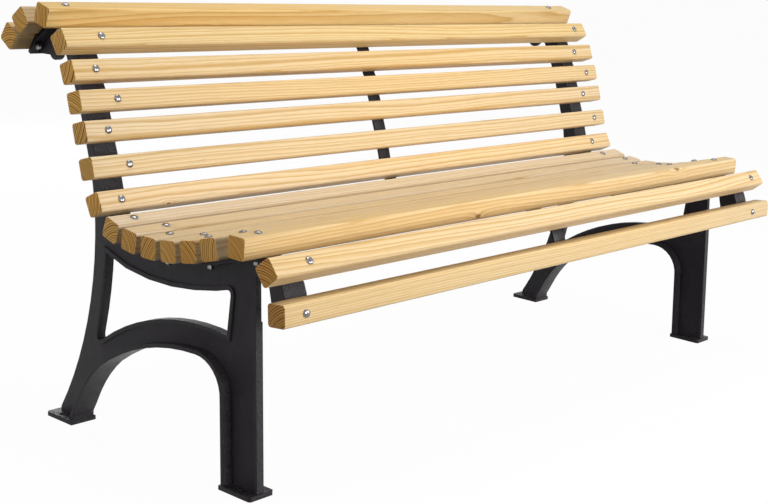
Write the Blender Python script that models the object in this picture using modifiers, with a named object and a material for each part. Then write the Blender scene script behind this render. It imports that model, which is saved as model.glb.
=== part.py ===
"""A park bench: two cast iron side frames, a flat centre strap and eighteen square pine slats.

The slats follow one continuous line that starts behind the top rail, rolls over the crest, runs
down the back, dips through the seat and turns down over the front edge. Both frames and the strap
take their shape from that line. Units are metres, X runs along the bench, the sitter faces -Y,
Z is up, and the origin is on the ground under the middle of the bench.
"""
import math

import bmesh
import bpy
from mathutils import Matrix, Vector

# Slats
SLAT_LENGTH = 1.800
SLAT_FACE = 0.042
SLAT_DEPTH = 0.042
SLAT_CHAMFER = 0.003
SEAT_HEIGHT = 0.454
SLAT_OVERHANG = 0.070

# Clear spaces between neighbouring slats
SEAT_GAP = 0.014
CREST_GAP = 0.021
UPPER_BACK_GAP = 0.0175
BACK_GAP = 0.028
SEAT_TURN_GAP = 0.024
TURN_GAP = 0.031
NOSE_GAP = 0.040
FRONT_GAP = 0.034
TAIL_GAP = 0.0095

# Each slat from the top rear to the front: name, angle of its face (0 looks forward, 90 looks up),
# bearing of the step to it from the slat before (same angle) and the clear gap in that step
SLATS = (
    ("crest_slat_rear_lower", 146, None, None),
    ("crest_slat_rear_upper", 127, 132, TAIL_GAP),
    ("crest_slat_top", 73, 102, TURN_GAP),
    ("crest_slat_front", 33, 51, TURN_GAP),
    ("back_slat_1", 21, 27, CREST_GAP),
    ("back_slat_2", 17, 22, UPPER_BACK_GAP),
    ("back_slat_3", 16, 18, UPPER_BACK_GAP),
    ("back_slat_4", 17, 18, BACK_GAP),
    ("back_slat_5", 27, 20, BACK_GAP),
    ("seat_slat_1", 73, 52, SEAT_TURN_GAP),
    ("seat_slat_2", 82, 79, SEAT_GAP),
    ("seat_slat_3", 90, 87, SEAT_GAP),
    ("seat_slat_4", 95, 94, SEAT_GAP),
    ("seat_slat_5", 100, 100, SEAT_GAP),
    ("seat_slat_6", 105, 105, SEAT_GAP),
    ("seat_slat_7", 89, 103, TURN_GAP),
    ("front_slat_upper", 39, 69.5, NOSE_GAP),
    ("front_slat_lower", 5, 22, FRONT_GAP),
)
LEVEL_SLAT = "seat_slat_3"

# Cast iron section: a wide flange against the slats and a thin web behind it
FRAME_OFFSET = SLAT_LENGTH / 2 - SLAT_OVERHANG
FLANGE_WIDTH = 0.054
FLANGE_THICK = 0.008
WEB_THICK = 0.013
BEAD_WIDTH = 0.020
BEAD_DEPTH = 0.008
BEAD_LIP = 0.001
SEAT_MARGIN = 0.002
UPRIGHT_DEPTH = 0.050
RAIL_DEPTH = 0.057
RAIL_HAUNCH = 0.012
RAIL_FRONT_DEPTH = 0.062

# Top scroll and front hook
LOBE_RADIUS = 0.018
LOBE_SETBACK = 0.040
LOBE_START = -30
LOBE_END = -165
NOTCH_RISE = 0.016
NOTCH_WIDTH = 0.009
HOOK_DEPTH = 0.062
HOOK_END_DEPTH = 0.052
HOOK_SLOT_TOP = 0.030

# Rear leg: an arc that leaves the upright straight down and sweeps backwards
LEG_SETBACK = 0.058
LEG_SPRING_DROP = 0.052
LEG_SWEEP_RADIUS = 0.740
REAR_LEG_DEPTH = 0.040
LOWER_LEG_DEPTH = 0.057
LEG_STRAIGHT = 0.020

# Front leg
FRONT_LEG_SETBACK = 0.007
FRONT_LEG_UPPER_DEPTH = 0.062
FRONT_LEG_FLARE = 0.0065
FRONT_LEG_DEPTH = 0.078
FRONT_LEG_LEAN = 3.7
LEG_BEAD_DROP = 0.050
LEG_BEAD_WIDTH = 0.017

# Arch between the legs
ARCH_DROP = 0.212
ARCH_RISE = SEAT_HEIGHT - ARCH_DROP
ARCH_FALL = 0.1325
ARCH_BAND = 0.052
ARCH_TOP_FALL = 0.1157
ARCH_CORNER = 0.070
ARCH_BLEND_SHARE = 0.72
OPENING_CORNER = 0.014
OPENING_TIP = 0.040

# Feet
FOOT_LENGTH = 0.083
FOOT_WIDTH = 0.062
FOOT_THICK = 0.009
FOOT_CLIP = 0.004
FOOT_LIP = 0.002
ANCHOR_HOLE = 0.012
ANCHOR_OFFSET = 0.018

# Flat centre strap
STRAP_WIDTH = 0.038
STRAP_THICK = 0.005
STRAP_OFFSET = -0.016

# Domed bolts with hexagon nuts, staggered to either side of the web
BOLT_STAGGER = 0.018
BOLT_DIAMETER = 0.008
BOLT_HOLE = 0.0095
HEAD_DIAMETER = 0.0155
HEAD_HEIGHT = 0.0045
HEAD_RIM = 0.0010
DOME_ANGLES = (0, 35, 65, 90)
NUT_ACROSS = 0.013
NUT_HEIGHT = 0.0065
BOLT_TAIL = 0.003

# Gap kept between pieces that touch
FIT_GAP = 0.0003

# Fineness of the curves
ARC_SAGITTA = 0.0004
BEND_STEPS = 5
ANCHOR_SIDES = 16
BOLT_SIDES = 10
NUT_SIDES = 6
WELD = 0.00001


def travel(angle):
    """Direction along the slat line, in (Y, Z), where the face angle is given in degrees."""
    turn = math.radians(angle)
    return Vector((-math.sin(turn), -math.cos(turn)))


def outward(angle):
    """Direction that a slat's face looks in, in (Y, Z)."""
    turn = math.radians(angle)
    return Vector((-math.cos(turn), math.sin(turn)))


def lay_slats():
    """Walk along the schedule and return each slat's centre, with the bench centred on Y = 0."""
    centres = {}
    spot = Vector((0.0, 0.0))
    for name, angle, bearing, gap in SLATS:
        if bearing is not None:
            spot = spot + travel(bearing) * (SLAT_FACE + gap)
        centres[name] = spot.copy()
    reach = []
    for name, angle, bearing, gap in SLATS:
        facing = outward(angle).x
        along = travel(angle).x
        half = abs(facing) * SLAT_DEPTH / 2 + abs(along) * SLAT_FACE / 2
        half -= min(abs(facing), abs(along)) * SLAT_CHAMFER
        head = facing * (SLAT_DEPTH / 2 + FIT_GAP + HEAD_HEIGHT)
        reach += [centres[name].x - half, centres[name].x + half, centres[name].x + head]
    middle = (min(reach) + max(reach)) / 2
    lift = SEAT_HEIGHT - SLAT_DEPTH / 2 - centres[LEVEL_SLAT].y
    return {name: spot + Vector((-middle, lift)) for name, spot in centres.items()}


ANGLES = {name: angle for name, angle, bearing, gap in SLATS}
CENTRES = lay_slats()


def seat_point(name, depth=0.0):
    """Point behind the middle of a slat, that far into the iron."""
    return CENTRES[name] - outward(ANGLES[name]) * (SLAT_DEPTH / 2 + FIT_GAP + depth)


def seat_line(names):
    """Line of flat seats for the named slats, two points to a slat."""
    points = []
    for name in names:
        half = travel(ANGLES[name]) * (SLAT_FACE / 2 + SEAT_MARGIN)
        points += [seat_point(name) - half, seat_point(name) + half]
    return points


def shortened(points, distance):
    """The same open line with both its ends drawn in."""
    first = points[0] + (points[1] - points[0]).normalized() * distance
    last = points[-1] + (points[-2] - points[-1]).normalized() * distance
    return [first] + points[1:-1] + [last]


def offset_line(points, distance):
    """Move an open line sideways, to the left of its direction, with mitred corners."""
    moved = []
    for index, point in enumerate(points):
        before = points[max(index - 1, 0)]
        after = points[min(index + 1, len(points) - 1)]
        first = (point - before).normalized() if index > 0 else (after - point).normalized()
        second = (after - point).normalized() if index < len(points) - 1 else first
        side_a = Vector((-first.y, first.x))
        side_b = Vector((-second.y, second.x))
        mitre = (side_a + side_b).normalized()
        moved.append(point + mitre * distance / mitre.dot(side_a))
    return moved


def arc(centre, radius, start, end):
    """Points on an arc in (Y, Z) from one angle to another, in degrees from +Y towards +Z."""
    step = 2 * math.degrees(math.acos(1 - ARC_SAGITTA / radius))
    count = max(2, math.ceil(abs(end - start) / step))
    turns = [math.radians(start + (end - start) * part / count) for part in range(count + 1)]
    return [centre + Vector((math.cos(turn), math.sin(turn))) * radius for turn in turns]


def bearing_of(point, centre):
    """Angle of a point seen from a centre, in degrees from +Y towards +Z."""
    return math.degrees(math.atan2(point.y - centre.y, point.x - centre.x))


def bend(start, corner, end):
    """Smooth bend from start to end, drawn towards the corner."""
    points = []
    for step in range(BEND_STEPS + 1):
        share = step / BEND_STEPS
        points.append(start * (1 - share) ** 2 + corner * 2 * share * (1 - share) + end * share ** 2)
    return points


def level_arc(crown, landing):
    """Centre and radius of the arc that is level at its crown and comes down on a landing point."""
    run = landing.x - crown.x
    drop = crown.y - landing.y
    radius = (run ** 2 + drop ** 2) / (2 * drop)
    return crown - Vector((0.0, radius)), radius


# Lines that the web, the flanges and the beads share
LINE = seat_line(CENTRES)
WEB_LINE = shortened(LINE, SEAT_MARGIN)
FOOT_LEVEL = FOOT_THICK / 2
LEG_CENTRE = Vector((
    seat_point("back_slat_5").x + LEG_SETBACK + LEG_SWEEP_RADIUS,
    SEAT_HEIGHT - LEG_SPRING_DROP,
))
FRONT_TOP = Vector((
    seat_point("seat_slat_6").x + FRONT_LEG_SETBACK,
    seat_point("seat_slat_6", RAIL_FRONT_DEPTH).y,
))


def rear_leg(depth, height):
    """Point of the rear leg at a height, that far in front of its back edge."""
    drop = LEG_CENTRE.y - max(height, LEG_STRAIGHT)
    radius = LEG_SWEEP_RADIUS + depth
    return Vector((LEG_CENTRE.x - math.sqrt(radius ** 2 - drop ** 2), height))


def front_leg(depth, height):
    """Point of the leaning front leg at a height, that far behind its front edge."""
    lean = math.tan(math.radians(FRONT_LEG_LEAN)) * (FRONT_TOP.y - height)
    return Vector((FRONT_TOP.x - FRONT_LEG_UPPER_DEPTH - lean + depth, height))


def under_arch():
    """Inner line of the legs and the arch, from the front foot over to the rear foot."""
    spring = front_leg(FRONT_LEG_DEPTH, ARCH_RISE - ARCH_CORNER)
    corner_centre = spring + Vector((ARCH_CORNER, 0.0))
    leg_radius = LEG_SWEEP_RADIUS + LOWER_LEG_DEPTH
    meeting = rear_leg(LOWER_LEG_DEPTH, ARCH_RISE - ARCH_FALL)
    centre, radius = level_arc(Vector((corner_centre.x, ARCH_RISE)), meeting)
    blend_reach = (meeting.y - LEG_STRAIGHT) * ARCH_BLEND_SHARE
    below = rear_leg(LOWER_LEG_DEPTH, meeting.y - blend_reach)
    turn = bearing_of(meeting, centre) + math.degrees(blend_reach / radius)
    beyond = arc(centre, radius, turn, 90)
    sweep = arc(LEG_CENTRE, leg_radius, bearing_of(below, LEG_CENTRE) % 360,
                bearing_of(rear_leg(LOWER_LEG_DEPTH, LEG_STRAIGHT), LEG_CENTRE) % 360)
    leg = sweep[1:] + [rear_leg(LOWER_LEG_DEPTH, FOOT_LEVEL)]
    corner = arc(corner_centre, ARCH_CORNER, 180, 90)
    blend = bend(beyond[0], meeting, below)
    return [front_leg(FRONT_LEG_DEPTH, FOOT_LEVEL)] + corner + beyond[-2::-1] + blend[1:] + leg


def opening():
    """Outline of the window between the seat rail, the legs and the arch."""
    crown = Vector((
        front_leg(FRONT_LEG_DEPTH, ARCH_RISE - ARCH_CORNER).x + ARCH_CORNER,
        ARCH_RISE + ARCH_BAND,
    ))
    leg_radius = LEG_SWEEP_RADIUS + REAR_LEG_DEPTH
    rear_low = rear_leg(REAR_LEG_DEPTH, crown.y - ARCH_TOP_FALL)
    centre, radius = level_arc(crown, rear_low)
    front_edge = FRONT_TOP.x + FRONT_LEG_FLARE
    front_rise = math.sqrt(radius ** 2 - (front_edge - centre.x) ** 2)
    front_low = Vector((front_edge, centre.y + front_rise))
    rail_slats = [f"seat_slat_{number}" for number in range(1, 6)]
    shares = [step / (len(rail_slats) - 1) for step in reversed(range(len(rail_slats)))]
    depths = [RAIL_DEPTH + RAIL_HAUNCH * share ** 2 for share in shares]
    rail = [seat_point(name, depth) for name, depth in zip(rail_slats, depths)]
    slope = math.tan(math.radians(90 - ANGLES["seat_slat_1"]))
    rear_edge = rear_leg(REAR_LEG_DEPTH, rail[0].y).x
    rear_high = rear_leg(REAR_LEG_DEPTH, rail[0].y + slope * (rear_edge - rail[0].x))
    round_front = FRONT_TOP + Vector((OPENING_CORNER, OPENING_CORNER * -slope))
    top = bend(FRONT_TOP - Vector((0.0, OPENING_CORNER)), FRONT_TOP, round_front)
    tip_leg = rear_leg(REAR_LEG_DEPTH, rear_low.y + OPENING_TIP)
    tip_turn = bearing_of(rear_low, centre) + math.degrees(OPENING_TIP / radius)
    down_leg = arc(LEG_CENTRE, leg_radius, bearing_of(rear_high, LEG_CENTRE) % 360,
                   bearing_of(tip_leg, LEG_CENTRE) % 360)
    along_arch = arc(centre, radius, tip_turn, bearing_of(front_low, centre))
    return top + rail[::-1] + down_leg + bend(tip_leg, rear_low, along_arch[0])[1:-1] + along_arch


def scroll_edge():
    """Lower edge of the plate behind the crest, from its rear end to the notch at the upright."""
    tail = offset_line(WEB_LINE, FLANGE_THICK)[0]
    upright = seat_point("crest_slat_front", UPRIGHT_DEPTH)
    lobe = Vector((upright.x + LOBE_SETBACK, tail.y + LOBE_RADIUS / 2))
    notch = upright + Vector((NOTCH_WIDTH, NOTCH_RISE))
    return [tail] + arc(lobe, LOBE_RADIUS, LOBE_START, LOBE_END) + [notch, upright]


def web_outline():
    """Outer outline of the web, once round the whole frame."""
    flange_middle = offset_line(WEB_LINE, FLANGE_THICK / 2)
    hook_end = offset_line(WEB_LINE, HOOK_END_DEPTH)[-1]
    hook_top = seat_point("front_slat_lower", HOOK_DEPTH) - travel(ANGLES["front_slat_lower"]) * SLAT_FACE
    slot_front = front_leg(0.0, hook_top.y)
    slot_roof = Vector(((hook_top.x + slot_front.x) / 2, hook_top.y + HOOK_SLOT_TOP))
    slot = bend(hook_top, slot_roof, slot_front)
    front = [front_leg(0.0, FOOT_LEVEL)]
    inner = offset_line(under_arch(), FLANGE_THICK / 2)
    rear = [rear_leg(0.0, FOOT_LEVEL), rear_leg(0.0, LEG_STRAIGHT)]
    lowest = bearing_of(rear[-1], LEG_CENTRE) % 360
    sweep = arc(LEG_CENTRE, LEG_SWEEP_RADIUS, lowest, 180)
    uprights = [f"back_slat_{number}" for number in range(4, 0, -1)]
    back_edge = [seat_point(name, UPRIGHT_DEPTH) for name in uprights]
    knee = Vector((LEG_CENTRE.x - LEG_SWEEP_RADIUS, (LEG_CENTRE.y + back_edge[0].y) / 2))
    throat = bend(sweep[-1], knee, back_edge[0])
    return (flange_middle + [hook_end] + slot + front + inner + rear + sweep[1:-1] + throat
            + back_edge[1:] + scroll_edge()[::-1])


def to_collection(thing, collection):
    """Keep an object in one collection only."""
    for holder in list(thing.users_collection):
        holder.objects.unlink(thing)
    collection.objects.link(thing)


def mesh_of(thing):
    """The mesh that an object shows, welded."""
    depsgraph = bpy.context.evaluated_depsgraph_get()
    mesh = bpy.data.meshes.new_from_object(thing.evaluated_get(depsgraph))
    work = bmesh.new()
    work.from_mesh(mesh)
    bmesh.ops.remove_doubles(work, verts=work.verts, dist=WELD)
    bmesh.ops.recalc_face_normals(work, faces=work.faces)
    work.to_mesh(mesh)
    work.free()
    return mesh


SIDEWAYS = Matrix(((0, 0, 1, 0), (1, 0, 0, 0), (0, 1, 0, 0), (0, 0, 0, 1)))


def plate(name, outlines, thickness, placing=SIDEWAYS):
    """A flat piece: closed outlines in its own plane, thick to both sides of that plane."""
    curve = bpy.data.curves.new(name, "CURVE")
    curve.dimensions = "2D"
    curve.fill_mode = "BOTH"
    curve.extrude = thickness / 2
    for outline in outlines:
        spline = curve.splines.new("POLY")
        spline.points.add(len(outline) - 1)
        for point, place in zip(spline.points, outline):
            point.co = (place[0], place[1], 0.0, 1.0)
        spline.use_cyclic_u = True
    drawn = bpy.data.objects.new(name, curve)
    drawn.matrix_world = placing
    bpy.context.scene.collection.objects.link(drawn)
    bpy.context.view_layer.update()
    solid = bpy.data.objects.new(name, mesh_of(drawn))
    solid.matrix_world = drawn.matrix_world
    bpy.data.objects.remove(drawn)
    TOOLS.objects.link(solid)
    as_tool(solid)
    return solid


def as_tool(thing):
    """Mark a cutter or a piece that is only joined into another."""
    thing.hide_render = True
    thing.display_type = "WIRE"


def cylinder(name, sides, radius, depth, placing):
    """A straight round or hexagonal tool."""
    bpy.ops.mesh.primitive_cylinder_add(vertices=sides, radius=radius, depth=depth)
    tool = bpy.context.object
    tool.name = name
    tool.matrix_world = placing
    to_collection(tool, TOOLS)
    as_tool(tool)
    return tool


def combine(target, tools, operation):
    """Join tools to a piece, or cut them out of it, one after another."""
    for tool in tools:
        step = target.modifiers.new(tool.name, "BOOLEAN")
        step.operation = operation
        step.solver = "EXACT"
        step.object = tool
    bpy.context.view_layer.update()


def material(name, colour, roughness, metallic):
    """A plain finish."""
    finish = bpy.data.materials.new(name)
    finish.use_nodes = True
    shader = finish.node_tree.nodes["Principled BSDF"]
    shader.inputs["Base Color"].default_value = (*colour, 1.0)
    shader.inputs["Roughness"].default_value = roughness
    shader.inputs["Metallic"].default_value = metallic
    return finish


def add_part(name, mesh, finish, placing):
    """Put one named piece of the bench in place."""
    part = bpy.data.objects.new(name, mesh)
    mesh.materials.clear()
    mesh.materials.append(finish)
    PARTS.objects.link(part)
    part.parent = BENCH
    part.matrix_world = placing
    return part


def slat_placing(name, x, lift):
    """Place of a point above a slat's middle, with local Z out of its face and X along the bench."""
    spot = CENTRES[name] + outward(ANGLES[name]) * lift
    turn = Matrix.Rotation(math.radians(90 - ANGLES[name]), 4, "X")
    return Matrix.Translation((x, spot.x, spot.y)) @ turn


def bolt_side(index):
    """Side of the web that a slat's bolts are on: they alternate, with one repeat under the back."""
    last_back = [row[0] for row in SLATS].index("back_slat_5")
    return -1 if (index + (index > last_back)) % 2 == 0 else 1


def strip(points, thickness):
    """Closed outline of a bar of even thickness behind a line."""
    return points + offset_line(points, thickness)[::-1]


def foot_outline(inner, direction):
    """Plan of a foot plate, from the face under the arch out to its clipped toe."""
    half = FOOT_WIDTH / 2
    heel = inner - direction * FOOT_LIP
    toe = inner + direction * FOOT_LENGTH
    clip = toe - direction * FOOT_CLIP
    corner = half - FOOT_CLIP
    return [(-half, heel), (half, heel), (half, clip), (corner, toe), (-corner, toe), (-half, clip)]


def build_frame_mesh():
    """One side frame, centred on X = 0."""
    arch_line = under_arch()
    window = opening()
    web = plate("web", [web_outline(), window], WEB_THICK)
    bead_rings = [offset_ring(window, BEAD_DEPTH), offset_ring(window, -BEAD_LIP)]
    joined = [
        plate("seat_flange", [strip(LINE, FLANGE_THICK)], FLANGE_WIDTH),
        plate("arch_flange", [strip(arch_line, FLANGE_THICK)], FLANGE_WIDTH),
        plate("window_bead", bead_rings, BEAD_WIDTH),
    ]
    bead_top = FRONT_TOP.y - LEG_BEAD_DROP
    leg_line = [front_leg(-BEAD_LIP, bead_top), front_leg(-BEAD_LIP, FOOT_LEVEL)]
    joined.append(plate("leg_bead", [strip(leg_line, BEAD_DEPTH + BEAD_LIP)], LEG_BEAD_WIDTH))
    feet = (("front", arch_line[0].x, -1), ("rear", arch_line[-1].x, 1))
    holes = []
    for name, inner, direction in feet:
        flat = Matrix.Translation((0.0, 0.0, FOOT_LEVEL))
        joined.append(plate(f"{name}_foot", [foot_outline(inner, direction)], FOOT_THICK, flat))
        middle = inner + direction * (FOOT_LENGTH + FLANGE_THICK) / 2
        spot = Matrix.Translation((-ANCHOR_OFFSET, middle, FOOT_LEVEL))
        holes.append(cylinder(f"{name}_anchor", ANCHOR_SIDES, ANCHOR_HOLE / 2, FOOT_THICK * 2, spot))
    for index, name in enumerate(CENTRES):
        lift = -(SLAT_DEPTH + FLANGE_THICK) / 2
        spot = slat_placing(name, bolt_side(index) * BOLT_STAGGER, lift)
        holes.append(cylinder(f"{name}_flange_hole", BOLT_SIDES, BOLT_HOLE / 2, FLANGE_THICK * 2, spot))
    combine(web, joined, "UNION")
    combine(web, holes, "DIFFERENCE")
    return mesh_of(web), web.matrix_world.copy()


def offset_ring(points, distance):
    """Grow a closed outline outwards by a distance, with mitred corners."""
    count = len(points)
    area = sum(points[i].cross(points[(i + 1) % count]) for i in range(count))
    side = -distance if area > 0 else distance
    closed = [points[-1]] + points + [points[0]]
    return offset_line(closed, side)[1:-1]


def build_slat_mesh(side):
    """A slat with eased edges and a bolt hole over each frame."""
    bpy.ops.mesh.primitive_cube_add(size=1.0)
    blank = bpy.context.object
    blank.data.transform(Matrix.Diagonal((SLAT_LENGTH, SLAT_FACE, SLAT_DEPTH, 1.0)))
    to_collection(blank, TOOLS)
    as_tool(blank)
    ease = blank.modifiers.new("eased_edges", "BEVEL")
    ease.width = SLAT_CHAMFER
    ease.segments = 1
    holes = []
    for frame in (-1, 1):
        spot = Matrix.Translation((frame * FRAME_OFFSET + side * BOLT_STAGGER, 0.0, 0.0))
        holes.append(cylinder("slat_hole", BOLT_SIDES, BOLT_HOLE / 2, SLAT_DEPTH * 2, spot))
    combine(blank, holes, "DIFFERENCE")
    return mesh_of(blank)


def build_bolt_mesh():
    """A domed bolt with its nut, its head resting on Z = 0."""
    length = SLAT_DEPTH + FLANGE_THICK + NUT_HEIGHT + BOLT_TAIL + FIT_GAP * 3
    rim = HEAD_DIAMETER / 2
    shank = BOLT_DIAMETER / 2
    turns = [math.radians(angle) for angle in DOME_ANGLES]
    crown = HEAD_HEIGHT - HEAD_RIM
    dome = [(rim * math.sin(turn), HEAD_RIM + crown * math.cos(turn)) for turn in turns]
    profile = dome + [(rim, 0.0), (shank, 0.0), (shank, -length), (0.0, -length)]
    mesh = bpy.data.meshes.new("bolt_profile")
    corners = [(x, 0.0, z) for x, z in profile]
    mesh.from_pydata(corners, [(i, i + 1) for i in range(len(corners) - 1)], [])
    turned = bpy.data.objects.new("bolt", mesh)
    TOOLS.objects.link(turned)
    as_tool(turned)
    lathe = turned.modifiers.new("turned", "SCREW")
    lathe.steps = BOLT_SIDES
    lathe.render_steps = BOLT_SIDES
    lathe.use_merge_vertices = True
    lathe.merge_threshold = WELD
    top = SLAT_DEPTH + FLANGE_THICK + FIT_GAP * 3
    spot = Matrix.Translation((0.0, 0.0, -top - NUT_HEIGHT / 2))
    nut = cylinder("nut", NUT_SIDES, NUT_ACROSS / math.sqrt(3), NUT_HEIGHT, spot)
    combine(turned, [nut], "UNION")
    return mesh_of(turned)


for old in list(bpy.data.objects):
    bpy.data.objects.remove(old)

PARTS = bpy.data.collections.new("park_bench")
TOOLS = bpy.data.collections.new("tools")
for group in (PARTS, TOOLS):
    bpy.context.scene.collection.children.link(group)
BENCH = bpy.data.objects.new("bench_origin", None)
PARTS.objects.link(BENCH)

PINE = material("pine", (0.78, 0.56, 0.28), 0.55, 0.0)
IRON = material("black_cast_iron", (0.016, 0.016, 0.018), 0.50, 0.0)
STRAP_STEEL = material("black_strap", (0.020, 0.020, 0.022), 0.45, 0.0)
ZINC = material("bright_zinc", (0.72, 0.73, 0.75), 0.22, 1.0)

frame_mesh, frame_turn = build_frame_mesh()
for frame_name, side in (("left_side_frame", -1), ("right_side_frame", 1)):
    frame_spot = Matrix.Translation((side * FRAME_OFFSET, 0.0, 0.0))
    add_part(frame_name, frame_mesh, IRON, frame_spot @ frame_turn)

strap = plate("strap_bar", [strip(LINE, STRAP_THICK)], STRAP_WIDTH)
add_part("centre_strap", strap.data, STRAP_STEEL, Matrix.Translation((STRAP_OFFSET, 0.0, 0.0)) @ SIDEWAYS)
bpy.data.objects.remove(strap)

slat_meshes = {side: build_slat_mesh(side) for side in (-1, 1)}
bolt_mesh = build_bolt_mesh()
for order, slat_name in enumerate(CENTRES):
    stagger = bolt_side(order)
    add_part(slat_name, slat_meshes[stagger], PINE, slat_placing(slat_name, 0.0, 0.0))
    for frame_word, frame_side in (("left", -1), ("right", 1)):
        bolt_x = frame_side * FRAME_OFFSET + stagger * BOLT_STAGGER
        head = slat_placing(slat_name, bolt_x, SLAT_DEPTH / 2 + FIT_GAP)
        add_part(f"{frame_word}_bolt_{slat_name}", bolt_mesh, ZINC, head)
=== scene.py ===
# %% [markdown]
# # A slatted park bench
# The solids of the bench are already packed: two cast iron side frames, a steel strap, eighteen pine
# slats and their bolts. This lesson dresses them. Each solid gets a finer piece in the same place,
# and each piece gets a finish made of shader nodes, so nothing is read from disk but the frame.

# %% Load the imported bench
import math

import bpy
from mathutils import Matrix, Vector


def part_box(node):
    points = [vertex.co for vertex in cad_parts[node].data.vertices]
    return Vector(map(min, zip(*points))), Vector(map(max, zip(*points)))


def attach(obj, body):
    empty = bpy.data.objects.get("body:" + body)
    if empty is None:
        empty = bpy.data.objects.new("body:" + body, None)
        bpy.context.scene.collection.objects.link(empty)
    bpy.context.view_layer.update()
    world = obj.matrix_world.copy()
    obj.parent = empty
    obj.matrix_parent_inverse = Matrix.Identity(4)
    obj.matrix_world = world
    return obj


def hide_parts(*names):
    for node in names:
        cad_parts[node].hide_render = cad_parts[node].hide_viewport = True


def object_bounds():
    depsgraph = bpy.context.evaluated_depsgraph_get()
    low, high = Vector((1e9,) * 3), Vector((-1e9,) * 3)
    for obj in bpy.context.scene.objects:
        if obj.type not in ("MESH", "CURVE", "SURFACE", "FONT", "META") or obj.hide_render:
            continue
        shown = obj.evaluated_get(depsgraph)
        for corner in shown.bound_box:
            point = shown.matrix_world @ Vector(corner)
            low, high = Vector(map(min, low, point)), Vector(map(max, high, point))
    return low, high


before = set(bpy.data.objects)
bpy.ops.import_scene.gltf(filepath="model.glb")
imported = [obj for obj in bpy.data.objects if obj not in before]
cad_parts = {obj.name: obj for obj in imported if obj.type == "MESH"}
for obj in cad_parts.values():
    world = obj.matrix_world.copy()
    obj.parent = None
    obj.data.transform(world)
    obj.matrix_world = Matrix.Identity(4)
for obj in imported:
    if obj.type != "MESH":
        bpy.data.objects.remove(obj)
CAD_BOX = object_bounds()
cad_size = [round(value, 3) for value in CAD_BOX[1] - CAD_BOX[0]]
print("solids loaded:", len(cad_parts), "box in metres:", cad_size)

# %% [markdown]
# ## Working by operators
# Most steps below are the ones a modeller would click through: add a primitive, pick some edges,
# bevel them. An operator works on whatever is selected, and the load leaves every solid selected,
# so each step starts by picking one piece alone.

# %% Helpers for picking and finishing
def pick(piece):
    """Make one piece the only selected one."""
    bpy.ops.object.select_all(action="DESELECT")
    piece.select_set(True)
    bpy.context.view_layer.objects.active = piece


def pick_edges(piece, wanted):
    """Enter edit mode with only the wanted edges selected; wanted is given an edge's two ends."""
    pick(piece)
    bpy.ops.object.mode_set(mode="EDIT")
    bpy.ops.mesh.select_mode(type="EDGE")
    bpy.ops.mesh.select_all(action="DESELECT")
    bpy.ops.object.mode_set(mode="OBJECT")
    corners = piece.data.vertices
    for edge in piece.data.edges:
        start, end = (corners[index].co for index in edge.vertices)
        edge.select = wanted(start, end)
    bpy.ops.object.mode_set(mode="EDIT")


def apply_all(piece):
    """Apply a piece's modifiers in order."""
    pick(piece)
    for modifier in list(piece.modifiers):
        bpy.ops.object.modifier_apply(modifier=modifier.name)


def cut(piece, cutter, operation="DIFFERENCE"):
    """Cut one piece with another, or join them, and throw the tool away."""
    pick(piece)
    step = piece.modifiers.new("cut", "BOOLEAN")
    step.operation = operation
    step.solver = "EXACT"
    step.object = cutter
    bpy.ops.object.modifier_apply(modifier=step.name)
    bpy.data.objects.remove(cutter)


def copy_to(model, name, place):
    """A copy of a model with its own mesh, whose place is in that mesh."""
    piece = bpy.data.objects.new(name, model.data.copy())
    bpy.context.scene.collection.objects.link(piece)
    piece.matrix_world = place
    pick(piece)
    bpy.ops.object.transform_apply(location=True, rotation=True, scale=True)
    return piece


def dress(piece, finish, slot, *nodes):
    """Give a piece its finish and its body, and hide the solids that it stands for; slot is not used."""
    piece.data.materials.clear()
    piece.data.materials.append(finish)
    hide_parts(*nodes)
    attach(piece, "root")


# %% [markdown]
# ## Where each slat lies
# A slat is a square bar along X. Its middle is the middle of its solid's box, and only its roll
# has to be given: 0 degrees for a face that looks forward and 90 for one that looks up. The next
# two numbers place the heart of the log that the slat was sawn from, in millimetres from the
# slat's middle, across its face and out of it. They decide how the year rings curve at its ends.
# No two boards have the same tone, so the last two say how warm a slat's wood is and how dark its
# end grain, both from 0 to 1.

# %% Slat schedule
SLATS = {
    "crest_slat_rear_lower": (146, 44, -52, 0.4, 0.4),
    "crest_slat_rear_upper": (127, -48, 30, 0.3, 0.3),
    "crest_slat_top": (73, 70, -20, 0.70, 0.3),
    "crest_slat_front": (33, 54, -58, 0.65, 0.2),
    "back_slat_1": (21, 62, -78, 0.25, 0.1),
    "back_slat_2": (17, -62, -34, 0.3, 0.2),
    "back_slat_3": (16, 58, -74, 0.2, 0.4),
    "back_slat_4": (17, -50, -58, 0.45, 0.3),
    "back_slat_5": (27, 48, -66, 0.0, 0.2),
    "seat_slat_1": (73, -40, -36, 0.1, 0.4),
    "seat_slat_2": (82, 58, -40, 0.2, 0.5),
    "seat_slat_3": (90, -62, -48, 0.1, 0.5),
    "seat_slat_4": (95, 46, -46, 0.2, 0.4),
    "seat_slat_5": (100, 70, -64, 0.2, 0.5),
    "seat_slat_6": (105, -66, -18, 0.2, 0.5),
    "seat_slat_7": (89, 40, -44, 0.35, 0.5),
    "front_slat_upper": (39, -46, -62, 0.1, 0.7),
    "front_slat_lower": (5, -56, 40, 0.4, 1.0),
}
# Where each value is in a slat's row
ROLL = 0
HEART = slice(1, 3)
TINT = slice(3, 5)

SIDES = ("left", "right")
SLAT_SIDE = 0.042
SLAT_LENGTH = 1.800
FIT_GAP = 0.0003
MM_PER_METRE = 1000


def slat_place(name):
    """Place of a slat's middle, with local Z out of its face."""
    low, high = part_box(name)
    roll = Matrix.Rotation(math.radians(90 - SLATS[name][ROLL]), 4, "X")
    return Matrix.Translation((low + high) / 2) @ roll


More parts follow.
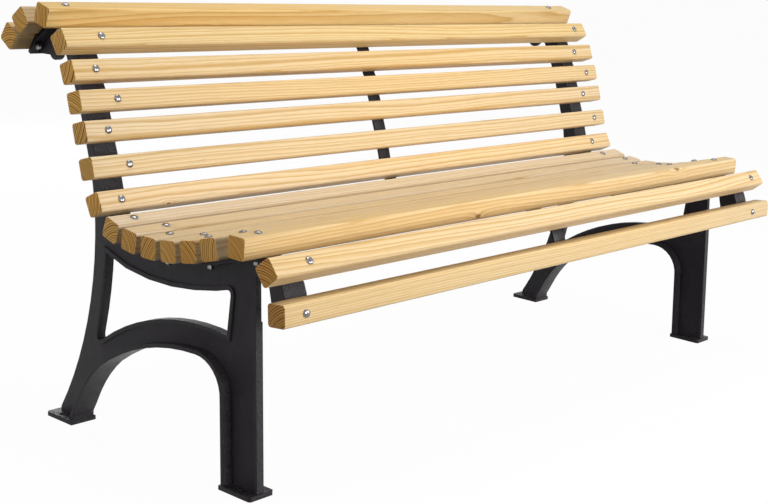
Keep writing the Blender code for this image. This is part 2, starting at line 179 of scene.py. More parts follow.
def bolt_spots(name):
    """The two bolts of a slat: solid's name and X."""
    nodes = [f"{side}_bolt_{name}" for side in SIDES]
    return [(node, (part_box(node)[0].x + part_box(node)[1].x) / 2) for node in nodes]


def hole_pattern(name):
    """Where a slat is bored along X, to a tenth of a millimetre."""
    return tuple(round(x, 4) for node, x in bolt_spots(name))


print("slats to dress:", len(SLATS))

# %% [markdown]
# ## Planed slats
# The real slats are planed square and their long edges are rounded over with a router, while the
# sawn ends are only eased. A cube is stretched to size, its four long edges are bevelled with a
# round of several segments, and the ends with a small one. Bolt holes are bored right through, as
# on the bench, and there are two patterns of them because the bolts step from side to side.

# %% Model the slat blanks
ROUND_OVER = 0.0062
ROUND_SEGMENTS = 5
END_EASE = 0.0012
EASE_SEGMENTS = 2
HOLE_DIAMETER = 0.0090
HOLE_SIDES = 24
SLAT_SMOOTH = math.radians(40)


def make_slat(holes):
    """A slat at the origin with holes at the given places along X."""
    bpy.ops.object.select_all(action="DESELECT")
    bpy.ops.mesh.primitive_cube_add(size=1.0)
    slat = bpy.context.object
    slat.scale = (SLAT_LENGTH, SLAT_SIDE, SLAT_SIDE)
    bpy.ops.object.transform_apply(location=False, rotation=False, scale=True)
    pick_edges(slat, lambda start, end: abs(start.x - end.x) > SLAT_LENGTH / 2)
    bpy.ops.mesh.bevel(offset=ROUND_OVER, segments=ROUND_SEGMENTS, affect="EDGES")
    bpy.ops.object.mode_set(mode="OBJECT")
    tip = SLAT_LENGTH / 2 - END_EASE / 2
    pick_edges(slat, lambda start, end: min(abs(start.x), abs(end.x)) > tip)
    bpy.ops.mesh.bevel(offset=END_EASE, segments=EASE_SEGMENTS, affect="EDGES")
    bpy.ops.object.mode_set(mode="OBJECT")
    for x in holes:
        bpy.ops.mesh.primitive_cylinder_add(
            vertices=HOLE_SIDES, radius=HOLE_DIAMETER / 2, depth=SLAT_SIDE * 2, location=(x, 0.0, 0.0))
        cut(slat, bpy.context.object)
    pick(slat)
    bpy.ops.object.shade_smooth_by_angle(angle=SLAT_SMOOTH)
    return slat


blanks = {}
for name in SLATS:
    holes = hole_pattern(name)
    if holes not in blanks:
        blanks[holes] = make_slat(holes)
print("slat patterns:", list(blanks))

# %% [markdown]
# ## Pine
# Pine shows the tree's year rings: a wide pale band of spring wood, then a narrow amber band of
# summer wood that stops sharply. Rings are shells round the heart of the log, so the pattern is
# made in three dimensions: distance from the heart, divided by the ring width. Sawn along the log
# the shells give long lines and flames, and sawn across they give arcs, with no seam at the edges.
# Each slat stores where it was in its log as a vector on its points, so one finish serves them all.

# %% Node helpers
# A Mix node has a set of sockets for each kind of data; these are its share and its colours
MIX_SHARE = 0
MIX_FIRST = 6
MIX_SECOND = 7
MIX_RESULT = 2


def add_node(tree, kind, **settings):
    """Add a shader node and set its properties."""
    node = tree.nodes.new(kind)
    for key, value in settings.items():
        setattr(node, key, value)
    return node


def feed(tree, socket, value):
    """Link a socket to another one, or set it to a plain value; None leaves it alone."""
    if hasattr(value, "is_linked"):
        tree.links.new(value, socket)
    elif value is not None:
        socket.default_value = value


def math_node(tree, operation, first, second=None):
    """A sum on one or two sockets or numbers; returns the result's socket."""
    node = add_node(tree, "ShaderNodeMath", operation=operation)
    feed(tree, node.inputs[0], first)
    feed(tree, node.inputs[1], second)
    return node.outputs[0]


def vector_node(tree, operation, first, second=None):
    """The same for vectors; returns a number's socket for a length and a vector's otherwise."""
    node = add_node(tree, "ShaderNodeVectorMath", operation=operation)
    feed(tree, node.inputs[0], first)
    feed(tree, node.inputs[1], second)
    return node.outputs["Value" if operation == "LENGTH" else "Vector"]


def split_node(tree, vector):
    """Split a vector; returns the sockets named X, Y and Z."""
    split = add_node(tree, "ShaderNodeSeparateXYZ")
    tree.links.new(vector, split.inputs["Vector"])
    return split.outputs


def noise_node(tree, place, stretch, detail=2.0, roughness=0.5):
    """Noise on a stretched copy of a vector; stretch is how many features fit in a metre."""
    noise = add_node(tree, "ShaderNodeTexNoise")
    noise.inputs["Scale"].default_value = 1.0
    noise.inputs["Detail"].default_value = detail
    noise.inputs["Roughness"].default_value = roughness
    tree.links.new(vector_node(tree, "MULTIPLY", place, stretch), noise.inputs["Vector"])
    return noise


def ramp_node(tree, value, stops):
    """A colour ramp from (position, colour) stops; returns its colour socket."""
    ramp = add_node(tree, "ShaderNodeValToRGB")
    while len(ramp.color_ramp.elements) < len(stops):
        ramp.color_ramp.elements.new(0.5)
    for element, (position, colour) in zip(ramp.color_ramp.elements, stops):
        element.position = position
        element.color = (*colour, 1.0)
    tree.links.new(value, ramp.inputs["Fac"])
    return ramp.outputs["Color"]


def span_node(tree, value, low, high, to_low=0.0, to_high=1.0):
    """Map a range of values onto another and clamp it; returns the result's socket."""
    span = add_node(tree, "ShaderNodeMapRange")
    for socket, number in zip(list(span.inputs)[1:5], (low, high, to_low, to_high)):
        socket.default_value = number
    tree.links.new(value, span.inputs["Value"])
    return span.outputs["Result"]


def blend_node(tree, kind, share, first, second):
    """Mix two colours; share, first and second are sockets or plain values."""
    mix = add_node(tree, "ShaderNodeMix", data_type="RGBA", blend_type=kind)
    feed(tree, mix.inputs[MIX_SHARE], share)
    for index, colour in ((MIX_FIRST, first), (MIX_SECOND, second)):
        feed(tree, mix.inputs[index], (*colour, 1.0) if isinstance(colour, tuple) else colour)
    return mix.outputs[MIX_RESULT]


def new_finish(name, **settings):
    """A material with its Principled shader and the plain numbers on that shader's own sockets."""
    finish = bpy.data.materials.new(name)
    finish.use_nodes = True
    shader = finish.node_tree.nodes["Principled BSDF"]
    for key, value in settings.items():
        shader.inputs[key.replace("_", " ")].default_value = value
    return finish, finish.node_tree, shader


def add_bump(tree, shader, height, strength, distance):
    """Feed a height to the shader's normal."""
    bump = add_node(tree, "ShaderNodeBump")
    bump.inputs["Strength"].default_value = strength
    bump.inputs["Distance"].default_value = distance
    tree.links.new(height, bump.inputs["Height"])
    tree.links.new(bump.outputs["Normal"], shader.inputs["Normal"])


print("node helpers ready")

# %% [markdown]
# A knot is a branch that the saw went through. Round it the rings swing aside and it has a dark
# core, both drawn out along the log. This small group takes a place in the log and gives a mask for
# the core and a push for the rings, so that a few knots can be set where the bench shows them.

# %% Knot group
KNOT_SQUEEZE = (0.55, 1.0, 1.0)
KNOT_EDGE = (1.15, 0.75)
KNOT_FALL_BASE = 2.718
KNOT_FALL_RATE = -0.55
KNOT_PUSH = 0.009
KNOT = bpy.data.node_groups.new("knot", "ShaderNodeTree")
for socket_name, socket_type in (("Place", "NodeSocketVector"), ("Centre", "NodeSocketVector"),
                                 ("Radius", "NodeSocketFloat")):
    KNOT.interface.new_socket(socket_name, in_out="INPUT", socket_type=socket_type)
for socket_name in ("Core", "Push"):
    KNOT.interface.new_socket(socket_name, in_out="OUTPUT", socket_type="NodeSocketFloat")
knot_in = KNOT.nodes.new("NodeGroupInput")
knot_out = KNOT.nodes.new("NodeGroupOutput")
knot_offset = vector_node(KNOT, "SUBTRACT", knot_in.outputs["Place"], knot_in.outputs["Centre"])
knot_reach = vector_node(KNOT, "LENGTH", vector_node(KNOT, "MULTIPLY", knot_offset, KNOT_SQUEEZE))
knot_share = math_node(KNOT, "DIVIDE", knot_reach, knot_in.outputs["Radius"])
KNOT.links.new(span_node(KNOT, knot_share, *KNOT_EDGE), knot_out.inputs["Core"])
knot_fade = math_node(KNOT, "MULTIPLY", knot_share, KNOT_FALL_RATE)
knot_fall = math_node(KNOT, "POWER", KNOT_FALL_BASE, knot_fade)
KNOT.links.new(math_node(KNOT, "MULTIPLY", knot_fall, KNOT_PUSH), knot_out.inputs["Push"])
print("knot group sockets:", [item.name for item in KNOT.interface.items_tree])

# %% [markdown]
# The pine finish puts these together. The heart wanders a little along the log, which turns
# straight lines into long flames, and a finer ripple keeps them from looking drawn. End grain drinks
# more oil and stays darker, so faces that look along X take a browner tone. Slow drifts of colour,
# fine fibres and dark resin ducts lie over the rings.

# %% Pine finish
RING_WIDTH = 0.0048
RING_DRIFT = 0.006
RING_DRIFT_SCALE = 120.0
LOG_STEP = 3.7
ACROSS_LOG = (0.0, 1.0, 1.0)
MIDDLE_GREY = (0.5, 0.5, 0.5)
WANDER_STRETCH = (0.8, 5.0, 5.0)
WANDER_REACH = (0.0, 0.034, 0.034)
RIPPLE_STRETCH = (9.0, 70.0, 70.0)
RIPPLE_REACH = (0.0, 0.0022, 0.0022)
FACE_STOPS = (
    (0.00, (0.775, 0.635, 0.455)), (0.40, (0.765, 0.62, 0.43)), (0.78, (0.69, 0.51, 0.30)),
    (0.93, (0.59, 0.405, 0.19)), (1.00, (0.76, 0.61, 0.42)))
END_STOPS = (
    (0.00, (0.90, 0.56, 0.160)), (0.50, (0.82, 0.47, 0.110)), (0.76, (0.34, 0.145, 0.020)),
    (0.94, (0.14, 0.048, 0.005)), (1.00, (0.88, 0.54, 0.150)))
END_FACING = (0.45, 0.9)
WARM_TINT = (1.00, 0.88, 0.48)
DARK_TINT = (0.55, 0.48, 0.42)
DRIFT_STRETCH = (0.35, 2.0, 2.0)
DRIFT_STOPS = ((0.30, (1.04, 0.94, 0.72)), (0.50, (1.0, 1.0, 1.0)), (0.70, (0.97, 1.0, 1.14)))
DRIFT_SHARE = 0.9
FIBRE_STRETCH = (14.0, 900.0, 900.0)
FIBRE_STOPS = ((0.35, (0.93, 0.90, 0.84)), (0.60, (1.0, 1.0, 1.0)))
FIBRE_GLOSS = (0.3, 0.7, 0.58, 0.46)
DUCT_STRETCH = (28.0, 1400.0, 1400.0)
DUCT_EDGE = (0.70, 0.78)
DUCT_SHARE = 0.35
DUCT_TONE = (0.42, 0.24, 0.09)
CORE_SHARE = 0.8
CORE_TONE = (0.24, 0.095, 0.025)
FIBRE_RELIEF = 0.6
RING_RELIEF = 0.25
# Slat, place on it and radius of each knot
KNOTS = (
    ("seat_slat_7", 0.585, -0.018, 0.019, 0.0060),
    ("seat_slat_7", -0.235, -0.020, -0.012, 0.0050),
    ("back_slat_5", -0.735, -0.021, 0.018, 0.0030),
    ("crest_slat_rear_upper", -0.250, 0.003, 0.019, 0.0060),
)


def log_place(name, spot):
    """Where a point of a slat was in its log: along it, and from its heart."""
    order = list(SLATS).index(name)
    across, out = (value / MM_PER_METRE for value in SLATS[name][HEART])
    return Vector((spot.x + order * LOG_STEP, spot.y - across, spot.z - out))


def sway_node(tree, place, stretch, detail, reach):
    """A push that noise gives to a place, as often one way as the other; returns its socket."""
    noise = noise_node(tree, place, stretch, detail).outputs["Color"]
    balanced = vector_node(tree, "SUBTRACT", noise, MIDDLE_GREY)
    return vector_node(tree, "MULTIPLY", balanced, reach)


pine, pine_tree, pine_shader = new_finish("planed_pine", IOR=1.45, Specular_IOR_Level=0.25)
place = add_node(pine_tree, "ShaderNodeAttribute", attribute_name="log_place").outputs["Vector"]
wander = sway_node(pine_tree, place, WANDER_STRETCH, 1.0, WANDER_REACH)
ripple = sway_node(pine_tree, place, RIPPLE_STRETCH, 2.0, RIPPLE_REACH)
bent = vector_node(pine_tree, "ADD", vector_node(pine_tree, "ADD", place, wander), ripple)
radius = vector_node(pine_tree, "LENGTH", vector_node(pine_tree, "MULTIPLY", bent, ACROSS_LOG))
cores = None
for name, x, y, z, size in KNOTS:
    knot = add_node(pine_tree, "ShaderNodeGroup", node_tree=KNOT)
    pine_tree.links.new(place, knot.inputs["Place"])
    knot.inputs["Centre"].default_value = log_place(name, Vector((x, y, z)))
    knot.inputs["Radius"].default_value = size
    radius = math_node(pine_tree, "ADD", radius, knot.outputs["Push"])
    core = knot.outputs["Core"]
    cores = core if cores is None else math_node(pine_tree, "MAXIMUM", cores, core)
spacing = add_node(pine_tree, "ShaderNodeTexNoise", noise_dimensions="1D")
spacing.inputs["Detail"].default_value = 1.0
spacing.inputs["Scale"].default_value = RING_DRIFT_SCALE
pine_tree.links.new(radius, spacing.inputs["W"])
ring_shift = math_node(pine_tree, "MULTIPLY", spacing.outputs["Fac"], RING_DRIFT)
radius = math_node(pine_tree, "ADD", radius, ring_shift)
ring = math_node(pine_tree, "FRACT", math_node(pine_tree, "DIVIDE", radius, RING_WIDTH))
face_tone = ramp_node(pine_tree, ring, FACE_STOPS)
end_tone = ramp_node(pine_tree, ring, END_STOPS)
slat_tint = add_node(pine_tree, "ShaderNodeAttribute", attribute_name="slat_tint").outputs["Vector"]
tint = split_node(pine_tree, slat_tint)
warm_tone = blend_node(pine_tree, "MULTIPLY", 1.0, face_tone, WARM_TINT)
face_tone = blend_node(pine_tree, "MIX", tint["X"], face_tone, warm_tone)
dark_tone = blend_node(pine_tree, "MULTIPLY", 1.0, end_tone, DARK_TINT)
end_tone = blend_node(pine_tree, "MIX", tint["Y"], end_tone, dark_tone)
facing = split_node(pine_tree, add_node(pine_tree, "ShaderNodeTexCoord").outputs["Normal"])
at_end = span_node(pine_tree, math_node(pine_tree, "ABSOLUTE", facing["X"]), *END_FACING)
tone = blend_node(pine_tree, "MIX", at_end, face_tone, end_tone)
drift = noise_node(pine_tree, place, DRIFT_STRETCH, 2.0).outputs["Fac"]
drift_tone = ramp_node(pine_tree, drift, DRIFT_STOPS)
tone = blend_node(pine_tree, "MULTIPLY", DRIFT_SHARE, tone, drift_tone)
fibre = noise_node(pine_tree, place, FIBRE_STRETCH, 3.0, 0.6).outputs["Fac"]
fibre_tone = ramp_node(pine_tree, fibre, FIBRE_STOPS)
tone = blend_node(pine_tree, "MULTIPLY", 1.0, tone, fibre_tone)
duct = noise_node(pine_tree, place, DUCT_STRETCH, 0.0).outputs["Fac"]
duct = math_node(pine_tree, "MULTIPLY", span_node(pine_tree, duct, *DUCT_EDGE), DUCT_SHARE)
tone = blend_node(pine_tree, "MIX", duct, tone, DUCT_TONE)
cores = math_node(pine_tree, "MULTIPLY", cores, CORE_SHARE)
tone = blend_node(pine_tree, "MIX", cores, tone, CORE_TONE)
pine_tree.links.new(tone, pine_shader.inputs["Base Color"])
pine_tree.links.new(span_node(pine_tree, fibre, *FIBRE_GLOSS), pine_shader.inputs["Roughness"])
fibre_height = math_node(pine_tree, "MULTIPLY", fibre, FIBRE_RELIEF)
ring_height = math_node(pine_tree, "MULTIPLY", ring, RING_RELIEF)
relief = math_node(pine_tree, "ADD", fibre_height, ring_height)
add_bump(pine_tree, pine_shader, relief, strength=0.35, distance=0.0004)
print("pine nodes:", len(pine_tree.nodes))

# %% Lay the slats
for name in SLATS:
    blank = blanks[hole_pattern(name)]
    spots = [log_place(name, vertex.co) for vertex in blank.data.vertices]
    slat = copy_to(blank, f"pine_{name}", slat_place(name))
    store = slat.data.attributes.new("log_place", "FLOAT_VECTOR", "POINT")
    store.data.foreach_set("vector", [value for spot in spots for value in spot])
    store = slat.data.attributes.new("slat_tint", "FLOAT_VECTOR", "POINT")
    store.data.foreach_set("vector", (*SLATS[name][TINT], 0.0) * len(spots))
    dress(slat, pine, "pine", name)
for blank in blanks.values():
    bpy.data.objects.remove(blank)
print("slats laid:", len(SLATS))

# %% [markdown]
# ## Cast iron frames
# A casting comes out of a sand mould, so it has no sharp edge. The frame solid already has the right
# outline, so a copy of it is merged, its flat faces are joined up again, and every edge that turns
# sharply, outside or inside, is bevelled with a small round.

# %% Model the castings
CAST_ROUND = 0.0018
CAST_SEGMENTS = 3
CAST_WELD = 0.00003
FLAT_ANGLE = math.radians(0.6)
SHARP_ANGLE = math.radians(38)
CAST_SMOOTH = math.radians(32)


def make_casting(node, name):
    """A rounded copy of a solid."""
    casting = bpy.data.objects.new(name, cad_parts[node].data.copy())
    bpy.context.scene.collection.objects.link(casting)
    pick(casting)
    bpy.ops.object.mode_set(mode="EDIT")
    bpy.ops.mesh.select_all(action="SELECT")
    bpy.ops.mesh.remove_doubles(threshold=CAST_WELD)
    bpy.ops.mesh.dissolve_limited(angle_limit=FLAT_ANGLE)
    bpy.ops.object.mode_set(mode="OBJECT")
    soften = casting.modifiers.new("rounded", "BEVEL")
    soften.width = CAST_ROUND
    soften.segments = CAST_SEGMENTS
    soften.limit_method = "ANGLE"
    soften.angle_limit = SHARP_ANGLE
    soften.miter_outer = "MITER_ARC"
    apply_all(casting)
    bpy.ops.object.shade_smooth_by_angle(angle=CAST_SMOOTH)
    return casting


castings = [make_casting(f"{side}_side_frame", f"{side}_casting") for side in SIDES]
print("casting faces:", [len(casting.data.polygons) for casting in castings])

# %% [markdown]
# ## Black paint on iron
# The frames are sprayed satin black. Sand from the mould shows through as a fine, soft grit, and the
# paint lies a little thicker or thinner, which shows more in its gloss than in its colour. Faces that
# look along the bench's depth, the flanges, get painted light: the tops of the grains show grey there,
# standing in for the front light and sheen on them, while the webs, which look along X, stay black.
# The strap has the same paint on smooth rolled steel, so the effect is a group with the grit as an
# input.

# %% Paint group
SAND_STRETCH = (520.0, 520.0, 520.0)
SWELL_STRETCH = (60.0, 60.0, 60.0)
CLOUD_STRETCH = (14.0, 14.0, 14.0)
SWELL_SHARE = 0.5
PAINT_BLACK = (0.0074, 0.0052, 0.0078)
PAINT_DUST = (0.034, 0.029, 0.034)
PAINT_FLANGE_LIGHT = (0.105, 0.098, 0.104)
DUST_EDGE = (0.45, 0.75)
FLANGE_FACING = (0.80, 0.40)
FLANGE_LIGHT_SPECKS = (0.46, 0.68, 0.0, 0.6)
PAINT_GLOSS = (0.3, 0.7, 0.32, 0.44)
PAINT = bpy.data.node_groups.new("black_paint", "ShaderNodeTree")
for socket_name in ("Grit", "Dust"):
    PAINT.interface.new_socket(socket_name, in_out="INPUT", socket_type="NodeSocketFloat")
PAINT.interface.new_socket("Colour", in_out="OUTPUT", socket_type="NodeSocketColor")
for socket_name in ("Roughness", "Height"):
    PAINT.interface.new_socket(socket_name, in_out="OUTPUT", socket_type="NodeSocketFloat")
paint_in = PAINT.nodes.new("NodeGroupInput")
paint_out = PAINT.nodes.new("NodeGroupOutput")
paint_coordinates = add_node(PAINT, "ShaderNodeTexCoord").outputs
paint_place = paint_coordinates["Object"]
sand = noise_node(PAINT, paint_place, SAND_STRETCH, 3.0, 0.6).outputs["Fac"]
swell = noise_node(PAINT, paint_place, SWELL_STRETCH, 2.0).outputs["Fac"]
cloud = noise_node(PAINT, paint_place, CLOUD_STRETCH, 4.0, 0.6).outputs["Fac"]
gritty = math_node(PAINT, "MULTIPLY", sand, paint_in.outputs["Grit"])
uneven = math_node(PAINT, "MULTIPLY", swell, SWELL_SHARE)
PAINT.links.new(math_node(PAINT, "ADD", gritty, uneven), paint_out.inputs["Height"])
dusty = math_node(PAINT, "MULTIPLY", span_node(PAINT, cloud, *DUST_EDGE), paint_in.outputs["Dust"])
paint_colour = blend_node(PAINT, "MIX", dusty, PAINT_BLACK, PAINT_DUST)
paint_facing = split_node(PAINT, paint_coordinates["Normal"])
# Painted light and sheen: grey specks on faces that do not look along X, standing in for the front light on
# the flanges
on_flange = span_node(PAINT, math_node(PAINT, "ABSOLUTE", paint_facing["X"]), *FLANGE_FACING)
painted_flange_light = math_node(PAINT, "MULTIPLY", span_node(PAINT, sand, *FLANGE_LIGHT_SPECKS), on_flange)
painted_flange_light = math_node(PAINT, "MULTIPLY", painted_flange_light, paint_in.outputs["Grit"])
paint_colour = blend_node(PAINT, "MIX", painted_flange_light, paint_colour, PAINT_FLANGE_LIGHT)
PAINT.links.new(paint_colour, paint_out.inputs["Colour"])
PAINT.links.new(span_node(PAINT, cloud, *PAINT_GLOSS), paint_out.inputs["Roughness"])


def painted(name, grit, dust, strength):
    """A black painted finish."""
    finish, tree, shader = new_finish(name, IOR=1.45, Specular_IOR_Level=0.17)
    paint = add_node(tree, "ShaderNodeGroup", node_tree=PAINT)
    paint.inputs["Grit"].default_value = grit
    paint.inputs["Dust"].default_value = dust
    tree.links.new(paint.outputs["Colour"], shader.inputs["Base Color"])
    tree.links.new(paint.outputs["Roughness"], shader.inputs["Roughness"])
    add_bump(tree, shader, paint.outputs["Height"], strength, distance=0.0012)
    return finish


cast_iron = painted("painted_cast_iron", grit=1.0, dust=0.40, strength=0.80)
strap_paint = painted("painted_strap", grit=0.15, dust=0.2, strength=0.25)
for casting, side in zip(castings, SIDES):
    dress(casting, cast_iron, "iron", f"{side}_side_frame")
print("painted:", [casting.name for casting in castings])

# %% [markdown]
# ## Centre strap
# A flat bar, bent to follow the backs of the slats, keeps them in line half way along. Each slat is
# held to it by one round-headed wood screw from behind. The bar's edges are rolled, so the copy of
# its solid gets a small round, and one screw is modelled and copied.

# %% Strap and its screws
STRAP_THICK = 0.005
SCREW_HEAD = 0.0105
SCREW_FLATNESS = 0.62
GROOVE_SHARE = 0.56
GROOVE_WIDTH = 0.0013
GROOVE_DEPTH = 0.0026
SCREW_SEGMENTS = 24
SCREW_RINGS = 12
SCREW_SMOOTH = math.radians(35)
strap = make_casting("centre_strap", "steel_strap")
dress(strap, strap_paint, "strap", "centre_strap")


def make_screw():
    """A cross-slotted screw head that rests on Z = 0 and points to +Z; its shank is in the wood."""
    bpy.ops.object.select_all(action="DESELECT")
    bpy.ops.mesh.primitive_uv_sphere_add(
        segments=SCREW_SEGMENTS, ring_count=SCREW_RINGS, radius=SCREW_HEAD / 2)
    screw = bpy.context.object
    bpy.ops.object.mode_set(mode="EDIT")
    bpy.ops.mesh.select_all(action="SELECT")
    bpy.ops.mesh.bisect(plane_co=(0, 0, 0), plane_no=(0, 0, 1), clear_inner=True, use_fill=True)
    bpy.ops.mesh.select_all(action="SELECT")
    bpy.ops.transform.resize(value=(1.0, 1.0, SCREW_FLATNESS))
    bpy.ops.object.mode_set(mode="OBJECT")
    for turn in (0, 90):
        bpy.ops.mesh.primitive_cube_add(size=1.0, location=(0.0, 0.0, SCREW_HEAD / 2 * SCREW_FLATNESS))
        groove = bpy.context.object
        groove.scale = (SCREW_HEAD * GROOVE_SHARE, GROOVE_WIDTH, GROOVE_DEPTH)
        groove.rotation_euler.z = math.radians(turn)
        bpy.ops.object.transform_apply(location=False, rotation=True, scale=True)
        cut(screw, groove)
    pick(screw)
    bpy.ops.object.shade_smooth_by_angle(angle=SCREW_SMOOTH)
    return screw


screw_model = make_screw()
print("screw faces:", len(screw_model.data.polygons))

# %% [markdown]
# ## Bright zinc
# Bolts, nuts and screws are zinc plated: a bright grey metal, slightly clouded. Roughness carries
# the cloud, and a very low bump keeps reflections from looking like a mirror's. The screws are set
# here too: each head rests behind the strap, with a fit gap on both of the strap's sides.

# %% Zinc finish
ZINC_STRETCH = (240.0, 240.0, 240.0)
ZINC_STOPS = ((0.3, (0.15, 0.145, 0.15)), (0.7, (0.28, 0.28, 0.28)))
ZINC_GLOSS = (0.3, 0.7, 0.14, 0.26)
zinc, zinc_tree, zinc_shader = new_finish("bright_zinc", Metallic=1.0)
zinc_place = add_node(zinc_tree, "ShaderNodeTexCoord").outputs["Object"]
zinc_cloud = noise_node(zinc_tree, zinc_place, ZINC_STRETCH, 3.0).outputs["Fac"]
zinc_colour = ramp_node(zinc_tree, zinc_cloud, ZINC_STOPS)
zinc_tree.links.new(zinc_colour, zinc_shader.inputs["Base Color"])
zinc_tree.links.new(span_node(zinc_tree, zinc_cloud, *ZINC_GLOSS), zinc_shader.inputs["Roughness"])
add_bump(zinc_tree, zinc_shader, zinc_cloud, strength=0.12, distance=0.0003)
strap_low, strap_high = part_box("centre_strap")
strap_middle = (strap_low.x + strap_high.x) / 2
screw_level = -SLAT_SIDE / 2 - STRAP_THICK - 2 * FIT_GAP
for name in SLATS:
    behind = slat_place(name) @ Matrix.Translation((strap_middle, 0.0, screw_level))
    screw = copy_to(screw_model, f"strap_screw_{name}", behind @ Matrix.Rotation(math.pi, 4, "X"))
    dress(screw, zinc, "bolts")
bpy.data.objects.remove(screw_model)
print("strap screws:", len(SLATS))

# %% [markdown]
# ## Domed bolts and nuts
# Every slat is held at each frame by a bolt with a low dome, so that nothing catches on clothes. The
# nut is behind the flange. Head and shank are one outline, spun round the bolt's axis: a low dome
# with a thin straight rim, then the shank, with grooves for the thread where it shows. The nut is a
# six-sided cylinder whose corners are turned off, as on a real one.

# %% Model the bolt
HEAD_DIAMETER = 0.0155
HEAD_HEIGHT = 0.0045
HEAD_RIM = 0.0011
RIM_TAPER = 0.0004
HEAD_LIFT = 0.0002
SHANK_DIAMETER = 0.008
THREAD_PITCH = 0.00125
THREAD_DEPTH = 0.0006
TIP_CHAMFER = 0.0008
TAIL = 0.003
NUT_ACROSS = 0.013
NUT_HEIGHT = 0.0065
NUT_SIDES = 6
NUT_FACE_SHARE = 0.48
NUT_CHAMFER = 0.0012
NUT_MARGIN = 0.0002
FLANGE_THICK = 0.008
GRIP = SLAT_SIDE + FLANGE_THICK + 3 * FIT_GAP
DOME_STEPS = 10
TURN_STEPS = 32
ON_AXIS = 0.000001
SEAM_WELD = 0.00001
BOLT_SMOOTH = math.radians(32)
BOLT_TURN = 47


def turn_profile(profile):
    """Spin an open outline of (radius, height) corners once round Z; both its ends are on the axis."""
    bpy.ops.object.select_all(action="DESELECT")
    bpy.ops.mesh.primitive_circle_add(vertices=len(profile), fill_type="NOTHING")
    turned = bpy.context.object
    for vertex, (reach, height) in zip(turned.data.vertices, profile):
        vertex.co = (reach, 0.0, height)
    pick_edges(turned, lambda start, end: max(start.x, end.x) < ON_AXIS)
    bpy.ops.mesh.delete(type="EDGE")
    bpy.ops.mesh.select_all(action="SELECT")
    bpy.ops.mesh.spin(steps=TURN_STEPS, angle=2 * math.pi, center=(0, 0, 0), axis=(0, 0, 1))
    bpy.ops.mesh.select_all(action="SELECT")
    bpy.ops.mesh.remove_doubles(threshold=SEAM_WELD)
    bpy.ops.mesh.normals_make_consistent(inside=False)
    bpy.ops.object.mode_set(mode="OBJECT")
    return turned


def make_bolt():
    """A bolt with its nut; the underside of its head is at Z = 0."""
    rim = HEAD_DIAMETER / 2
    crown = HEAD_HEIGHT - HEAD_RIM
    shank = SHANK_DIAMETER / 2
    nut_top = -GRIP
    nut_bottom = nut_top - NUT_HEIGHT
    end = nut_bottom - TAIL
    turns = [math.radians(90 * step / DOME_STEPS) for step in range(DOME_STEPS + 1)]
    dome = [(rim * math.sin(turn), HEAD_RIM + crown * math.cos(turn)) for turn in turns]
    underside = [(rim - RIM_TAPER, 0.0), (shank, 0.0)]
    threads = []
    level = nut_bottom + THREAD_PITCH
    while level > end + THREAD_PITCH:
        threads += [(shank, level), (shank - THREAD_DEPTH, level - THREAD_PITCH / 2)]
        level -= THREAD_PITCH
    tip = [(shank, level), (shank - TIP_CHAMFER, end), (0.0, end)]
    bolt = turn_profile(dome + underside + threads + tip)
    corner = NUT_ACROSS / math.sqrt(3)
    bpy.ops.mesh.primitive_cylinder_add(
        vertices=NUT_SIDES, radius=corner, depth=NUT_HEIGHT, location=(0.0, 0.0, nut_top - NUT_HEIGHT / 2))
    nut = bpy.context.object
    bpy.ops.object.transform_apply(location=True, rotation=False, scale=False)
    face = NUT_ACROSS * NUT_FACE_SHARE
    reach = corner + NUT_MARGIN
    barrel = turn_profile([
        (0.0, nut_top + NUT_MARGIN), (face, nut_top + NUT_MARGIN), (reach, nut_top - NUT_CHAMFER),
        (reach, nut_bottom + NUT_CHAMFER), (face, nut_bottom - NUT_MARGIN), (0.0, nut_bottom - NUT_MARGIN)])
    cut(nut, barrel, "INTERSECT")
    cut(bolt, nut, "UNION")
    pick(bolt)
    bpy.ops.object.shade_smooth_by_angle(angle=BOLT_SMOOTH)
    return bolt


bolt_model = make_bolt()
bolt_count = 0
for name in SLATS:
    for node, x in bolt_spots(name):
        head = slat_place(name) @ Matrix.Translation((x, 0.0, SLAT_SIDE / 2 + HEAD_LIFT))
        spin = Matrix.Rotation(math.radians(BOLT_TURN * bolt_count), 4, "Z")
        bolt = copy_to(bolt_model, f"zinc_{node}", head @ spin)
        dress(bolt, zinc, "bolts", node)
        bolt_count += 1
bpy.data.objects.remove(bolt_model)
print("bolts set:", bolt_count)

# %% [markdown]
# ## Floor and light
# The bench was photographed against white. The floor is a plain pale sheet that reaches past the
# edge of the view. Seen straight it glows, which lifts it to white and still leaves room for a soft
# shadow, and for bounced light it is a darker sheet, so that the undersides keep their depth. One
# broad lamp stands low in front, so that it reaches under the slats and not far down between them.
# One overhead lights the seat, one at the left shines along the bench on the slat ends, one at the
# right gives the iron its sheen and one behind keeps the back from going dark. The sky gives the
# rest. Gloss shows the white sheet and the white sky, as it would in a studio.

# %% Floor
FLOOR_SIZE = 240.0
FLOOR_DROP = 0.0003
PAPER_BOUNCE = (0.09, 0.09, 0.09)
PAPER_SEEN = (0.85, 0.85, 0.85)
PAPER_GLOW = 0.97


def shows_backdrop(tree):
    """1 for a ray that shows the backdrop: straight to the camera, off a gloss or through glass."""
    path = add_node(tree, "ShaderNodeLightPath")
    straight = math_node(tree, "MAXIMUM", path.outputs["Is Camera Ray"], path.outputs["Is Glossy Ray"])
    return math_node(tree, "MAXIMUM", straight, path.outputs["Is Transmission Ray"])


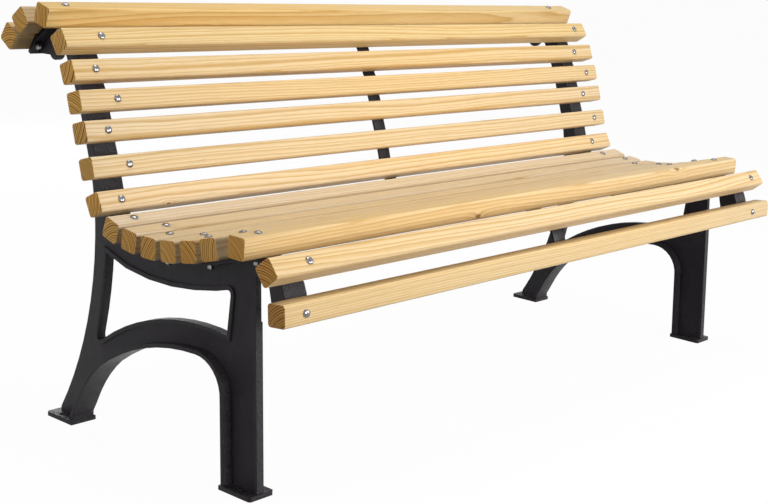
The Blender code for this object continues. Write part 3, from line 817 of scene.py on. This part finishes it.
bpy.ops.object.select_all(action="DESELECT")
bpy.ops.mesh.primitive_plane_add(size=FLOOR_SIZE, location=(0.0, 0.0, -FLOOR_DROP))
floor = bpy.context.object
floor.name = "studio_floor"
paper, paper_tree, paper_shader = new_finish("white_paper", Roughness=0.9, Specular_IOR_Level=0.0)
seen = shows_backdrop(paper_tree)
paper_tone = blend_node(paper_tree, "MIX", seen, PAPER_BOUNCE, PAPER_SEEN)
paper_tree.links.new(paper_tone, paper_shader.inputs["Base Color"])
glow = add_node(paper_tree, "ShaderNodeEmission")
glow.inputs["Strength"].default_value = 1.0
lift = add_node(paper_tree, "ShaderNodeMixShader")
paper_tree.links.new(math_node(paper_tree, "MULTIPLY", seen, PAPER_GLOW), lift.inputs[0])
paper_tree.links.new(paper_shader.outputs["BSDF"], lift.inputs[1])
paper_tree.links.new(glow.outputs["Emission"], lift.inputs[2])
paper_tree.links.new(lift.outputs["Shader"], paper_tree.nodes["Material Output"].inputs["Surface"])
floor.data.materials.append(paper)
print("floor:", floor.name)

# %% Sky and lamps
SKY_LEVEL = 0.08
scene = bpy.context.scene
sky = bpy.data.worlds.new("studio_sky")
sky.use_nodes = True
scene.world = sky
sky_tree = sky.node_tree
sky_shader = sky_tree.nodes["Background"]
sky_shader.inputs["Color"].default_value = (1.0, 1.0, 1.0, 1.0)
sky_strength = span_node(sky_tree, shows_backdrop(sky_tree), 0.0, 1.0, SKY_LEVEL, 1.0)
sky_tree.links.new(sky_strength, sky_shader.inputs["Strength"])


def add_lamp(name, spot, aim, size, power):
    """A square lamp at a spot, facing an aim."""
    bpy.ops.object.light_add(type="AREA", location=spot)
    lamp = bpy.context.object
    lamp.name = name
    lamp.data.size = size
    lamp.data.energy = power
    lamp.rotation_euler = (Vector(aim) - Vector(spot)).to_track_quat("-Z", "Y").to_euler()


add_lamp("front_lamp", (-0.5, -3.9, 1.1), (0.0, 0.0, 0.5), 1.6, 98.0)
add_lamp("top_lamp", (0.2, 0.0, 4.2), (0.0, 0.0, 0.4), 2.0, 86.0)
add_lamp("left_lamp", (-7.0, 0.9, 2.2), (0.0, 0.0, 0.5), 3.2, 180.0)
add_lamp("right_lamp", (2.6, -3.6, 1.35), (0.0, 0.0, 0.4), 1.6, 90.0)
add_lamp("rear_lamp", (0.6, 4.2, 1.3), (0.0, 0.0, 0.5), 1.8, 60.0)

# %% [markdown]
# ## Camera
# The place and turn of the camera were worked out from the slat ends in the photograph: it stands
# to the left of the bench's front, about a metre up, and looks a little down, with a slight roll.

# %% Camera
CAMERA_SPOT = Vector((-2.5261, -2.0148, 1.0121))
CAMERA_YAW = math.radians(49.5005)
CAMERA_PITCH = math.radians(12.5606)
CAMERA_ROLL = math.radians(3.4155)
FOCAL_OVER_WIDTH = 1.8151
SENSOR_WIDTH = 36.0
FAR_CLIP = 500.0

look = Vector((
    math.sin(CAMERA_YAW) * math.cos(CAMERA_PITCH),
    math.cos(CAMERA_YAW) * math.cos(CAMERA_PITCH),
    -math.sin(CAMERA_PITCH)))
level = Vector((math.cos(CAMERA_YAW), -math.sin(CAMERA_YAW), 0.0))
above = level.cross(look)
right = level * math.cos(CAMERA_ROLL) + above * math.sin(CAMERA_ROLL)
upward = above * math.cos(CAMERA_ROLL) - level * math.sin(CAMERA_ROLL)
bpy.ops.object.camera_add()
camera = bpy.context.object
turn = Matrix((right, upward, -look)).transposed().to_4x4()
camera.matrix_world = Matrix.Translation(CAMERA_SPOT) @ turn
camera.data.sensor_fit = "HORIZONTAL"
camera.data.sensor_width = SENSOR_WIDTH
camera.data.lens = FOCAL_OVER_WIDTH * SENSOR_WIDTH
camera.data.clip_end = FAR_CLIP
scene.camera = camera
scene.view_settings.view_transform = "Standard"
print("camera lens:", round(camera.data.lens, 2))
